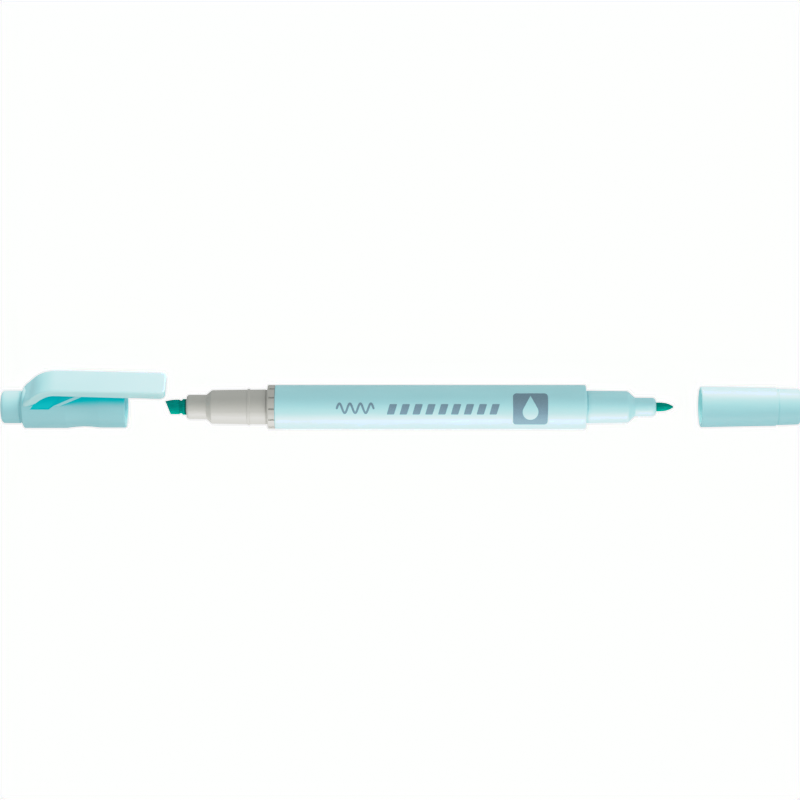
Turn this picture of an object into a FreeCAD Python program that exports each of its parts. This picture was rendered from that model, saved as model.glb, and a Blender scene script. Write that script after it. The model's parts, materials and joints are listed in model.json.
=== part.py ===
import FreeCAD, Part
import os
import re

import Sketcher

# A twin-tip highlighter with both caps pulled off and lying in line with the pen. The origin is on
# the pen's axis at mid-length of the barrel. -X is the chisel end, +X the fine end, and +Z the side
# that the clip stands on. Every piece is drawn in its own frame, with x running out of the pen or
# into the cap, and is then put in place by its Placement.

DIMS = {
    # barrel
    "barrel_len": 81.7,
    "barrel_r": 5.82,
    "barrel_bore": 4.92,
    "barrel_edge": 0.28,
    # fits
    "press_gap": 0.01,
    "run_gap": 0.03,
    # shared: how far a cutter runs past a face, a fused foot's depth, mouth and bore chamfers
    "cut_over": 1.0,
    "sink": 0.3,
    "lead_in": 0.3,
    "bore_step": 0.4,
    # chisel end holder, x measured outwards from the barrel's end face
    "seat_len": 8.0,
    "flange_len": 1.98,
    "flange_edge": 0.4,
    "flute_count": 12,
    "flute_width": 0.46,
    "flute_depth": 0.3,
    "flute_len": 1.62,
    "flute_turn": -5.5,
    "undercut_len": 0.4,
    "undercut_deep": 0.14,
    "section_back_r": 4.64,
    "section_front_r": 4.44,
    "section_end": 16.65,
    "bead_start": 6.5,
    "bead_len": 0.85,
    "bead_high": 0.17,
    "cone_len": 1.4,
    "cone_round": 0.4,
    "nozzle_r": 3.25,
    "nozzle_end": 23.3,
    "nozzle_edge": 0.85,
    "web_start": 9.0,
    "store_bore": 3.76,
    # chisel nib
    "nib_width": 4.2,
    "nib_thick": 2.3,
    "nib_back": 0.75,
    "slot_back": 0.5,
    "nib_hinge_x": 24.75,
    "neck_half": 1.74,
    "neck_thick": 1.8,
    "notch_half": 0.42,
    "tip_width": 3.94,
    "tip_long": 4.17,
    "tip_short": 2.73,
    "tip_drop": 0.42,
    "tip_back": 1.0,
    "tip_edge": 0.25,
    "nib_turn": 45,
    # fine end holder, x measured outwards from the barrel's other end face
    "collar_recess": 0.3,
    "collar_back_r": 4.34,
    "collar_front_r": 4.19,
    "collar_end": 11.05,
    "groove_start": 0.15,
    "groove_len": 0.3,
    "groove_deep": 0.12,
    "fine_cone_end": 12.95,
    "fine_shoulder_round": 0.8,
    "fine_root_round": 0.5,
    "fine_nozzle_r": 2.5,
    "fine_nozzle_tip_r": 2.44,
    "fine_nozzle_end": 18.48,
    "fine_nozzle_edge": 1.0,
    "fine_web_start": 4.0,
    "fine_nib_r": 1.22,
    "fine_nib_end": 23.05,
    "ogive_len": 3.8,
    "ogive_bulge": 0.824,
    "point_len": 0.22,
    "point_r": 0.36,
    "point_mid_len": 0.06,
    "point_mid_r": 0.21,
    # ink store
    "store_r": 3.6,
    "film_thick": 0.1,
    "film_margin": 0.6,
    "wick_gap": 0.05,
    # clip cap, x measured from its mouth towards its closed end
    "cap_out": 39.1,
    "cap_mouth_r": 5.5,
    "cap_end_r": 5.58,
    "cap_mouth_edge": 0.35,
    "waist_start": 6.9,
    "waist_end": 15.5,
    "waist_r": 5.18,
    "shoulder_start": 26.8,
    "cap_len": 27.4,
    "cap_lip_len": 1.05,
    "mouth_bore": 4.87,
    "mouth_bore_len": 8.5,
    "cap_bore": 4.72,
    "knob_r": 4.34,
    "knob_end": 32.8,
    "knob_edge": 1.0,
    "ring_len": 0.4,
    "ring_deep": 0.16,
    "crown_flange": 0.95,
    "knob_hollow_r": 3.3,
    "knob_wall": 1.0,
    "liner_start": 16.3,
    "liner_nose_r": 3.72,
    "liner_depth": 27.4,
    "liner_wall": 0.7,
    "liner_gap": 0.2,
    # clip
    "clip_width": 7.84,
    "clip_thick": 2.07,
    "ramp_foot_x": 26.5,
    "ramp_foot_z": 4.57,
    "ramp_base_z": 3.0,
    "bend_x": 21.5,
    "bend_z": 9.95,
    "bend_r": 8.5,
    "inner_shift": 1.6,
    "clip_tip_x": 10.87,
    "clip_tip_z": 8.87,
    "clip_tip_thick": 2.35,
    "root_x": 10.5,
    "split_gap": 0.02,
    "tip_corner": 1.6,
    "clip_edge": 0.35,
    "brace_foot_x": 19.8,
    "brace_foot_z": 2.3,
    "brace_top_x": 10.9,
    "brace_rise": 1.1,
    "brace_inset": 0.08,
    "pocket_floor_z": 3.3,
    "pocket_floor_r": 5.15,
    "pocket_start": 17.5,
    "pocket_end": 24.8,
    "bump_start": 6.3,
    "bump_end": 9.7,
    "bump_z": 6.1,
    "bump_width": 3.0,
    # fine cap, x measured from its mouth towards its closed end
    "fine_cap_out": 30.15,
    "fine_cap_mouth_r": 5.41,
    "fine_cap_end_r": 5.04,
    "fine_cap_len": 19.9,
    "fine_mouth_edge": 0.35,
    "fine_bore_deep": 4.24,
    "fine_bore_mouth": 4.41,
    "fine_bore_mouth_len": 11.6,
    "tail_r": 4.85,
    "tail_end_r": 4.68,
    "tail_end": 26.1,
    "tail_edge": 0.5,
    "tail_ring_len": 0.4,
    "tail_ring_r": 4.72,
    "tail_spigot_start": 15.5,
    "tail_hollow_r": 3.32,
    "tail_wall": 1.35,
    "fine_liner_start": 13.1,
    "fine_liner_flange": 1.1,
    "fine_liner_wall": 0.6,
    "fine_liner_depth": 23.6,
}

# Tolerances for picking edges by their place: on a face, and clearly past one.
NEAR = 1e-4
BEYOND = 0.1

# The corner where the clip's inner face meets the ramp's inner face, before it is rounded.
INNER_X = "(bend_x - inner_shift)"

doc = FreeCAD.newDocument("highlighter")
sheet = doc.addObject("Spreadsheet::Sheet", "Dims")
SUB_PARTS = []


def fill_sheet():
    for row, (name, value) in enumerate(DIMS.items(), start=1):
        sheet.set(f"A{row}", name)
        sheet.set(f"B{row}", str(value))
        sheet.setAlias(f"B{row}", name)
    doc.recompute()


def bound(text):
    """The expression with each driving dimension written as a cell of the sheet."""
    return re.sub(r"[a-z][a-z_]*", lambda found: "Dims." + found.group(0), text)


def value(text):
    return float(sheet.evalExpression(bound(text)))


def body(name):
    piece = doc.addObject("PartDesign::Body", name)
    piece.Label = name
    SUB_PARTS.append(piece)
    return piece


def sketch_on(piece, role, name):
    sketch = piece.newObject("Sketcher::SketchObject", name)
    plane = next(item for item in piece.Origin.OriginFeatures if item.Role == role)
    sketch.AttachmentSupport = (plane, "")
    sketch.MapMode = "FlatFace"
    return sketch


def place_vertex(sketch, edge, end, x, y):
    for axis, text in (("DistanceX", x), ("DistanceY", y)):
        number = sketch.addConstraint(Sketcher.Constraint(axis, edge, end, value(text)))
        sketch.setExpression(f"Constraints[{number}]", bound(text))


def outline(sketch, points, arcs=None):
    """A closed outline. arcs maps the number of an edge to the middle point of its arc."""
    arcs = arcs or {}
    corners = [FreeCAD.Vector(value(x), value(y), 0) for x, y in points]
    for edge, start in enumerate(corners):
        finish = corners[(edge + 1) % len(corners)]
        if edge in arcs:
            middle = FreeCAD.Vector(value(arcs[edge][0]), value(arcs[edge][1]), 0)
            left_turn = (middle - start).cross(finish - middle).z > 0
            ends = (start, finish) if left_turn else (finish, start)
            sketch.addGeometry(Part.Arc(ends[0], middle, ends[1]), False)
        else:
            sketch.addGeometry(Part.LineSegment(start, finish), False)
    for edge, (x, y) in enumerate(points):
        before = (edge - 1) % len(points)
        start_end = arc_end(sketch, edge, corners[edge])
        before_end = arc_end(sketch, before, corners[edge])
        place_vertex(sketch, edge, start_end, x, y)
        sketch.addConstraint(Sketcher.Constraint("Coincident", before, before_end, edge, start_end))
    for edge, (x, y) in arcs.items():
        middle = sketch.addGeometry(Part.Point(FreeCAD.Vector(value(x), value(y), 0)), True)
        place_vertex(sketch, middle, 1, x, y)
        sketch.addConstraint(Sketcher.Constraint("PointOnObject", middle, 1, edge))


def arc_end(sketch, edge, corner):
    """1 if the edge's first point lies on the corner, or 2 if its last point does."""
    start = sketch.Geometry[edge].StartPoint
    return 1 if start.distanceToPoint(corner) < NEAR else 2


def turned(piece, name, points, arcs=None, cut=False):
    """A solid of revolution about the body's x axis, or a groove cut by one."""
    sketch = sketch_on(piece, "XZ_Plane", name + "_profile")
    outline(sketch, points, arcs)
    kind = "PartDesign::Groove" if cut else "PartDesign::Revolution"
    feature = piece.newObject(kind, name)
    feature.Profile = sketch
    feature.ReferenceAxis = (sketch, ["H_Axis"])
    feature.Angle = 360
    doc.recompute()
    return feature


def slab(piece, name, points, width, arcs=None, cut=False):
    """A side outline given a width, half of it on each side of the XZ plane."""
    sketch = sketch_on(piece, "XZ_Plane", name + "_profile")
    outline(sketch, points, arcs)
    kind = "PartDesign::Pocket" if cut else "PartDesign::Pad"
    feature = piece.newObject(kind, name)
    feature.Profile = sketch
    feature.SideType = "Symmetric"
    feature.setExpression("Length", bound(width))
    doc.recompute()
    return feature


def rounded(piece, name, base, radius, wanted):
    """A fillet on each edge of the base feature for which wanted(edge) is true."""
    names = [f"Edge{n}" for n, edge in enumerate(base.Shape.Edges, start=1) if wanted(edge)]
    feature = piece.newObject("PartDesign::Fillet", name)
    feature.Base = (base, names)
    feature.setExpression("Radius", bound(radius))
    doc.recompute()
    return feature


def ring_edge(x, radius):
    """Picks the circular edge at a station along the axis."""
    place = value(x)
    size = value(radius)

    def wanted(edge):
        curve = edge.Curve
        if not isinstance(curve, Part.Circle):
            return False
        return abs(curve.Center.x - place) < NEAR and abs(curve.Radius - size) < NEAR

    return wanted


def outwards(x, sign, turn=0.0):
    """The Placement of a piece whose own x axis runs along +X or -X from a station."""
    spin = FreeCAD.Rotation(FreeCAD.Vector(1, 0, 0), turn)
    flip = FreeCAD.Rotation(FreeCAD.Vector(0, 0, 1), 0 if sign > 0 else 180)
    return FreeCAD.Placement(FreeCAD.Vector(x, 0, 0), spin.multiply(flip))


def on_chisel_end(piece):
    piece.Placement = outwards(-value("barrel_len / 2"), -1, -value("nib_turn"))


def on_fine_end(piece):
    piece.Placement = outwards(value("barrel_len / 2"), 1)


def on_clip_cap(piece):
    piece.Placement = outwards(-value("barrel_len / 2 + cap_out"), -1)


def on_fine_cap(piece):
    piece.Placement = outwards(value("barrel_len / 2 + fine_cap_out"), 1)


def make_barrel():
    piece = body("barrel")
    tube = turned(piece, "tube", [
        ("0", "barrel_bore"),
        ("barrel_len", "barrel_bore"),
        ("barrel_len", "barrel_r"),
        ("0", "barrel_r"),
    ])
    ends = [ring_edge("0", "barrel_r"), ring_edge("barrel_len", "barrel_r")]
    rounded(piece, "end_rounds", tube, "barrel_edge", lambda edge: any(end(edge) for end in ends))
    piece.Placement = outwards(-value("barrel_len / 2"), 1)


def make_chisel_holder():
    """The grey front section: seat in the barrel, fluted flange, snap bead, cone and nozzle."""
    piece = body("chisel_holder")
    skin = turned(piece, "skin", [
        ("-seat_len", "0"),
        ("-seat_len", "barrel_bore - press_gap"),
        ("0", "barrel_bore - press_gap"),
        ("0", "barrel_r"),
        ("flange_len", "barrel_r"),
        ("flange_len", "section_back_r - undercut_deep"),
        ("flange_len + undercut_len", "section_back_r - undercut_deep"),
        ("flange_len + undercut_len", "section_back_r"),
        ("section_end", "section_front_r"),
        ("section_end + cone_len", "nozzle_r"),
        ("nozzle_end", "nozzle_r"),
        ("nozzle_end", "0"),
    ])
    cone_end = "section_end + cone_len"
    part = rounded(piece, "nozzle_round", skin, "nozzle_edge", ring_edge("nozzle_end", "nozzle_r"))
    part = rounded(piece, "flange_round", part, "flange_edge", ring_edge("flange_len", "barrel_r"))
    part = rounded(piece, "shoulder_round", part, "cone_round",
                   ring_edge("section_end", "section_front_r"))
    rounded(piece, "cone_root", part, "cone_round", ring_edge(cone_end, "nozzle_r"))
    bead_middle = "bead_start + bead_len / 2"
    turned(piece, "bead", [
        ("bead_start", "section_front_r - sink"),
        ("bead_start + bead_len", "section_front_r - sink"),
        ("bead_start + bead_len", "section_back_r - bead_high / 2"),
        ("bead_start", "section_back_r - bead_high / 2"),
    ], arcs={2: (bead_middle, "section_back_r + bead_high")})
    add_flutes(piece)
    turned(piece, "store_seat", [
        ("-seat_len", "0"),
        ("web_start", "0"),
        ("web_start", "store_bore"),
        ("-seat_len", "store_bore"),
    ], cut=True)
    add_nib_slot(piece)
    on_chisel_end(piece)


def add_flutes(piece):
    """Short axial flutes round the flange's rim, open towards the barrel."""
    sketch = sketch_on(piece, "YZ_Plane", "flute_profile")
    turn = FreeCAD.Rotation(FreeCAD.Vector(0, 0, 1), value("flute_turn"))
    sketch.AttachmentOffset = FreeCAD.Placement(FreeCAD.Vector(), turn)
    sketch.setExpression("AttachmentOffset.Rotation.Angle", bound("flute_turn"))
    outline(sketch, [
        ("-flute_width / 2", "barrel_r - flute_depth"),
        ("flute_width / 2", "barrel_r - flute_depth"),
        ("flute_width / 2", "barrel_r + cut_over"),
        ("-flute_width / 2", "barrel_r + cut_over"),
    ])
    flute = piece.newObject("PartDesign::Pocket", "flute")
    flute.Profile = sketch
    flute.Reversed = True
    flute.setExpression("Length", bound("flute_len"))
    doc.recompute()
    ring = piece.newObject("PartDesign::PolarPattern", "flutes")
    ring.Originals = [flute]
    axis = next(item for item in piece.Origin.OriginFeatures if item.Role == "X_Axis")
    ring.Axis = (axis, [""])
    ring.Angle = 360
    ring.setExpression("Occurrences", bound("flute_count"))
    piece.Tip = ring
    doc.recompute()


def add_nib_slot(piece):
    """The slot through the nozzle that grips the chisel nib's stem."""
    reach = "nozzle_end + cut_over"
    slab(piece, "nib_slot", [
        ("web_start - slot_back", "-nib_width / 2 - press_gap"),
        (reach, "-nib_width / 2 - press_gap"),
        (reach, "nib_width / 2 + press_gap"),
        ("web_start - slot_back", "nib_width / 2 + press_gap"),
    ], "nib_thick + 2 * press_gap", cut=True)


def make_fine_holder():
    """The fine end's holder: seat in the barrel, collar for the fine cap, cone and nozzle."""
    piece = body("fine_holder")
    skin = turned(piece, "skin", [
        ("-seat_len", "store_bore"),
        ("-seat_len", "barrel_bore - press_gap"),
        ("-collar_recess", "barrel_bore - press_gap"),
        ("-collar_recess", "collar_back_r"),
        ("groove_start", "collar_back_r"),
        ("groove_start", "collar_back_r - groove_deep"),
        ("groove_start + groove_len", "collar_back_r - groove_deep"),
        ("groove_start + groove_len", "collar_back_r"),
        ("collar_end", "collar_front_r"),
        ("fine_cone_end", "fine_nozzle_r"),
        ("fine_nozzle_end", "fine_nozzle_tip_r"),
        ("fine_nozzle_end", "fine_nib_r + press_gap"),
        ("fine_web_start", "fine_nib_r + press_gap"),
        ("fine_web_start", "store_bore"),
    ])
    part = rounded(piece, "nozzle_round", skin, "fine_nozzle_edge",
                   ring_edge("fine_nozzle_end", "fine_nozzle_tip_r"))
    part = rounded(piece, "shoulder_round", part, "fine_shoulder_round",
                   ring_edge("collar_end", "collar_front_r"))
    rounded(piece, "cone_root", part, "fine_root_round",
            ring_edge("fine_cone_end", "fine_nozzle_r"))
    on_fine_end(piece)


def make_chisel_nib_stem():
    """The nib behind its neck: a flat bar in the nozzle, hollowed where the neck turns in it."""
    piece = body("chisel_nib_stem")
    slab(piece, "bar", [
        ("web_start - nib_back", "-nib_width / 2"),
        ("nib_hinge_x - notch_half", "-nib_width / 2"),
        ("nib_hinge_x - notch_half", "nib_width / 2"),
        ("web_start - nib_back", "nib_width / 2"),
    ], "nib_thick")
    sketch = sketch_on(piece, "XZ_Plane", "knuckle_seat_profile")
    centre = FreeCAD.Vector(value("nib_hinge_x"), 0, 0)
    circle = Part.Circle(centre, FreeCAD.Vector(0, 0, 1), value("neck_half + run_gap"))
    sketch.addGeometry(circle, False)
    place_vertex(sketch, 0, 3, "nib_hinge_x", "0")
    size = sketch.addConstraint(Sketcher.Constraint("Radius", 0, value("neck_half + run_gap")))
    sketch.setExpression(f"Constraints[{size}]", bound("neck_half + run_gap"))
    seat = piece.newObject("PartDesign::Pocket", "knuckle_seat")
    seat.Profile = sketch
    seat.SideType = "Symmetric"
    seat.setExpression("Length", bound("nib_thick * 2"))
    doc.recompute()
    on_chisel_end(piece)


def make_chisel_nib_tip():
    """The slanted writing tip with a narrowed neck that ends in a half-round knuckle."""
    piece = body("chisel_nib_tip")
    hinge = "nib_hinge_x"
    slab(piece, "neck", [
        (hinge, "-neck_half"),
        (f"{hinge} + notch_half + sink", "-neck_half"),
        (f"{hinge} + notch_half + sink", "neck_half"),
        (hinge, "neck_half"),
    ], "neck_thick", arcs={3: (f"{hinge} - neck_half", "0")})
    tip = slab(piece, "tip", [
        (f"{hinge} + notch_half", "-tip_width / 2"),
        (f"{hinge} + tip_short", "-tip_width / 2"),
        (f"{hinge} + tip_long", "tip_width / 2 - tip_drop"),
        (f"{hinge} + tip_short - tip_back", "tip_width / 2"),
        (f"{hinge} + notch_half", "tip_width / 2"),
    ], "nib_thick")
    front = value(f"{hinge} + notch_half")
    side = value("nib_thick / 2")

    def along_side(edge):
        box = edge.BoundBox
        flat = abs(abs(box.YMin) - side) < NEAR and box.YLength < NEAR
        return flat and box.XMax > front + BEYOND

    rounded(piece, "tip_rounds", tip, "tip_edge", along_side)
    on_chisel_end(piece)


def make_fine_nib():
    piece = body("fine_nib")
    turned(piece, "rod", [
        ("fine_web_start", "0"),
        ("fine_nib_end", "0"),
        ("fine_nib_end - point_len", "point_r"),
        ("fine_nib_end - ogive_len", "fine_nib_r"),
        ("fine_web_start", "fine_nib_r"),
    ], arcs={1: ("fine_nib_end - point_mid_len", "point_mid_r"),
             2: ("fine_nib_end - (ogive_len + point_len) / 2", "fine_nib_r * ogive_bulge")})
    on_fine_end(piece)


def make_ink_store():
    """A round wick of bonded fibre in a thin film, held between the two holders."""
    wick_len = "barrel_len + web_start - nib_back + fine_web_start - wick_gap"
    wick = body("ink_reservoir")
    turned(wick, "wick", [
        ("0", "0"),
        (wick_len, "0"),
        (wick_len, "store_r"),
        ("0", "store_r"),
    ])
    film = body("reservoir_film")
    turned(film, "film", [
        ("film_margin", "store_r"),
        (f"{wick_len} - film_margin", "store_r"),
        (f"{wick_len} - film_margin", "store_r + film_thick"),
        ("film_margin", "store_r + film_thick"),
    ])
    place = outwards(-value("barrel_len / 2 + web_start - nib_back"), 1)
    wick.Placement = place
    film.Placement = place


def make_clip_cap_shell():
    """The outer cap with its clip root and the diagonal leaf that braces the clip."""
    piece = body("clip_cap_shell")
    add_clip_root(piece)
    skin = turned(piece, "skin", [
        ("0", "0"),
        ("cap_len", "0"),
        ("cap_len", "knob_r + run_gap"),
        ("shoulder_start", "cap_end_r"),
        ("waist_end", "cap_end_r"),
        ("waist_start", "cap_mouth_r"),
        ("0", "cap_mouth_r"),
    ], arcs={4: ("(waist_start + waist_end) / 2", "waist_r")})
    rounded(piece, "mouth_round", skin, "cap_mouth_edge", ring_edge("0", "cap_mouth_r"))
    add_pocket(piece)
    add_brace(piece)
    turned(piece, "bore", [
        ("-cut_over", "0"),
        ("cap_len + cut_over", "0"),
        ("cap_len + cut_over", "knob_r + run_gap"),
        ("cap_len - cap_lip_len", "knob_r + run_gap"),
        ("cap_len - cap_lip_len", "cap_bore"),
        ("mouth_bore_len", "cap_bore"),
        ("mouth_bore_len - bore_step", "mouth_bore"),
        ("lead_in", "mouth_bore"),
        ("-cut_over", "mouth_bore + lead_in + cut_over"),
    ], cut=True)
    on_clip_cap(piece)


def clip_top_z(x):
    """Height of the clip's outer face at a station of its straight part."""
    return f"clip_tip_z + ({x} + clip_tip_x) * (bend_z - clip_tip_z) / (bend_x + clip_tip_x)"


def clip_under_z(x):
    """Height of the clip's inner face at a station of its straight part."""
    growth = "(clip_tip_thick - clip_thick) / (bend_x + clip_tip_x)"
    return f"{clip_top_z(x)} - clip_tip_thick + ({x} + clip_tip_x) * {growth}"


def ramp_inner_x(z):
    """Station of the ramp's inner face at a height."""
    run_per_rise = "(ramp_foot_x - bend_x) / (bend_z - ramp_foot_z)"
    return f"{INNER_X} + ({clip_under_z(INNER_X)} - {z}) * {run_per_rise}"


def brace_lower_x(z):
    """Station of the brace's lower face at a height."""
    rise = f"({clip_under_z('brace_top_x')} - brace_foot_z)"
    return f"brace_foot_x - ({z} - brace_foot_z) * (brace_foot_x - brace_top_x) / {rise}"


def add_clip_root(piece):
    """The ramp that rises from the shoulder and bends over into the clip."""
    root = slab(piece, "clip_root", [
        ("ramp_foot_x", "ramp_foot_z"),
        ("bend_x", "bend_z"),
        ("root_x", clip_top_z("root_x")),
        ("root_x", clip_under_z("root_x")),
        (INNER_X, clip_under_z(INNER_X)),
        (ramp_inner_x("ramp_base_z"), "ramp_base_z"),
        ("ramp_foot_x", "ramp_base_z"),
    ], "clip_width")

    def bend_at(x):
        place = value(x)

        def wanted(edge):
            box = edge.BoundBox
            return box.YLength > 1 and abs(box.XMin - place) < NEAR and box.XLength < NEAR

        return wanted

    bend = rounded(piece, "outer_bend", root, "bend_r", bend_at("bend_x"))
    bend = rounded(piece, "inner_bend", bend, "bend_r - clip_thick", bend_at(INNER_X))
    side = value("clip_width / 2")
    base = value("ramp_base_z")
    split = value("root_x")

    def along_side(edge):
        box = edge.BoundBox
        flat = abs(abs(box.YMin) - side) < NEAR and box.YLength < NEAR
        above = box.ZMax > base + BEYOND and box.XMax > split + BEYOND
        return flat and above and box.XLength > BEYOND

    rounded(piece, "clip_root_rounds", bend, "clip_edge", along_side)


def add_pocket(piece):
    """The flat-floored hollow under the clip, from the ramp to the brace, open on both sides."""
    top = "(cap_end_r + sink)"
    slab(piece, "pocket", [
        (brace_lower_x("pocket_floor_z"), "pocket_floor_z"),
        (ramp_inner_x("pocket_floor_z"), "pocket_floor_z"),
        (ramp_inner_x(top), top),
        (brace_lower_x(top), top),
    ], "2 * cap_end_r", cut=True)
    turned(piece, "pocket_wall", [
        ("pocket_start", "0"),
        ("pocket_end", "0"),
        ("pocket_end", "pocket_floor_r"),
        ("pocket_start", "pocket_floor_r"),
    ])


def add_brace(piece):
    """A thin diagonal leaf from the cap's back up to the clip's inner face."""
    slab(piece, "brace", [
        ("brace_foot_x", "brace_foot_z"),
        ("brace_foot_x", "brace_foot_z + brace_rise"),
        ("brace_top_x", f"{clip_under_z('brace_top_x')} + brace_rise"),
        ("brace_top_x", clip_under_z("brace_top_x")),
    ], "clip_width - 2 * brace_inset")


def make_clip_arm():
    """The free length of the clip, from the brace to the rounded tip, with its grip bump."""
    piece = body("clip_arm")
    start = "root_x - split_gap"
    blade = slab(piece, "blade", [
        ("-clip_tip_x", "clip_tip_z - clip_tip_thick"),
        (start, clip_under_z("root_x")),
        (start, clip_top_z("root_x")),
        ("-clip_tip_x", "clip_tip_z"),
    ], "clip_width")
    tip = value("-clip_tip_x")

    def tip_upright(edge):
        box = edge.BoundBox
        return abs(box.XMin - tip) < NEAR and box.ZLength > 1 and box.YLength < NEAR

    corners = rounded(piece, "tip_corners", blade, "tip_corner", tip_upright)
    root = value(start)

    def long_edge(edge):
        box = edge.BoundBox
        upright = box.ZLength > 1 and box.XLength < NEAR
        across = box.YLength > 1 and abs(box.XMin - root) < NEAR
        return not upright and not across

    rounded(piece, "blade_rounds", corners, "clip_edge", long_edge)
    slab(piece, "bump", [
        ("-bump_end", clip_under_z("(0 - bump_end)") + " + sink"),
        ("-bump_end", clip_under_z("(0 - bump_end)")),
        ("-bump_start", clip_under_z("(0 - bump_start)")),
        ("-bump_start", clip_under_z("(0 - bump_start)") + " + sink"),
    ], "bump_width", arcs={1: ("-(bump_start + bump_end) / 2", "bump_z")})
    on_clip_cap(piece)


def make_clip_cap_crown():
    """The knob that closes the clip cap, put in from the mouth and held by its flange."""
    piece = body("clip_cap_crown")
    flange_x = "cap_len - cap_lip_len - press_gap"
    skin = turned(piece, "skin", [
        (f"{flange_x} - crown_flange", "liner_nose_r + press_gap"),
        (f"{flange_x} - crown_flange", "cap_bore - press_gap"),
        (flange_x, "cap_bore - press_gap"),
        (flange_x, "knob_r"),
        ("cap_len", "knob_r"),
        ("cap_len", "knob_r - ring_deep"),
        ("cap_len + ring_len", "knob_r - ring_deep"),
        ("cap_len + ring_len", "knob_r"),
        ("knob_end", "knob_r"),
        ("knob_end", "0"),
        ("knob_end - knob_wall", "0"),
        ("knob_end - knob_wall", "knob_hollow_r"),
        ("liner_depth + liner_wall + liner_gap", "knob_hollow_r"),
        ("liner_depth + liner_wall + liner_gap", "liner_nose_r + press_gap"),
    ])
    rounded(piece, "knob_round", skin, "knob_edge", ring_edge("knob_end", "knob_r"))
    on_clip_cap(piece)


def make_clip_cap_liner():
    """The inner cup that seals round the chisel nozzle and keeps the nib from drying."""
    piece = body("clip_cap_liner")
    step = "cap_len - cap_lip_len - crown_flange - 3 * press_gap"
    cup = turned(piece, "cup", [
        ("liner_start", "nozzle_r + run_gap"),
        ("liner_start", "cap_bore - press_gap"),
        (step, "cap_bore - press_gap"),
        (step, "liner_nose_r"),
        ("liner_depth + liner_wall", "liner_nose_r"),
        ("liner_depth + liner_wall", "0"),
        ("liner_depth", "0"),
        ("liner_depth", "nozzle_r + run_gap"),
    ])
    rounded(piece, "lead_in_round", cup, "lead_in", ring_edge("liner_start", "nozzle_r + run_gap"))
    on_clip_cap(piece)


def make_fine_cap_shell():
    piece = body("fine_cap_shell")
    skin = turned(piece, "skin", [
        ("0", "fine_bore_mouth + lead_in"),
        ("lead_in", "fine_bore_mouth"),
        ("fine_bore_mouth_len", "fine_bore_mouth"),
        ("fine_bore_mouth_len + bore_step", "fine_bore_deep"),
        ("fine_cap_len", "fine_bore_deep"),
        ("fine_cap_len", "fine_cap_end_r"),
        ("0", "fine_cap_mouth_r"),
    ])
    rounded(piece, "mouth_round", skin, "fine_mouth_edge", ring_edge("0", "fine_cap_mouth_r"))
    on_fine_cap(piece)


def make_fine_cap_crown():
    """The tail plug of the fine cap, pushed in from the closed end."""
    piece = body("fine_cap_crown")
    ring_end = "fine_cap_len + tail_ring_len"
    skin = turned(piece, "skin", [
        ("tail_spigot_start", "tail_hollow_r"),
        ("tail_spigot_start", "fine_bore_deep - press_gap"),
        ("fine_cap_len", "fine_bore_deep - press_gap"),
        ("fine_cap_len", "tail_ring_r"),
        (ring_end, "tail_ring_r"),
        (ring_end, "tail_r"),
        ("tail_end", "tail_end_r"),
        ("tail_end", "0"),
        ("tail_end - tail_wall", "0"),
        ("tail_end - tail_wall", "tail_hollow_r"),
    ])
    rounded(piece, "tail_round", skin, "tail_edge", ring_edge("tail_end", "tail_end_r"))
    on_fine_cap(piece)


def make_fine_cap_liner():
    """The fine cap's inner cup, a top hat that seals round the fine nozzle."""
    piece = body("fine_cap_liner")
    flange_end = "fine_liner_start + fine_liner_flange"
    turned(piece, "cup", [
        ("fine_liner_start", "fine_nozzle_r + run_gap"),
        ("fine_liner_start", "fine_bore_deep - press_gap"),
        (flange_end, "fine_bore_deep - press_gap"),
        (flange_end, "tail_hollow_r - press_gap"),
        ("fine_liner_depth + fine_liner_wall", "tail_hollow_r - press_gap"),
        ("fine_liner_depth + fine_liner_wall", "0"),
        ("fine_liner_depth", "0"),
        ("fine_liner_depth", "fine_nozzle_r + run_gap"),
    ])
    on_fine_cap(piece)


def check_document():
    doc.recompute()
    bad = [item.Name for item in doc.Objects if {"Invalid", "Error"} & set(item.State)]
    for piece in SUB_PARTS:
        if piece.Shape.isNull() or not piece.Shape.isValid() or len(piece.Shape.Solids) != 1:
            bad.append(piece.Label)
    if bad:
        raise SystemExit("not well formed: " + ", ".join(bad))


def write_parts():
    os.makedirs("parts", exist_ok=True)
    for piece in SUB_PARTS:
        piece.Shape.exportStep(f"parts/{piece.Label}.step")


fill_sheet()
make_barrel()
make_chisel_holder()
make_fine_holder()
make_chisel_nib_stem()
make_chisel_nib_tip()
make_fine_nib()
make_ink_store()
make_clip_cap_shell()
make_clip_arm()
make_clip_cap_crown()
make_clip_cap_liner()
make_fine_cap_shell()
make_fine_cap_crown()
make_fine_cap_liner()
check_document()
write_parts()
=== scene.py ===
import json
import math

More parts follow.
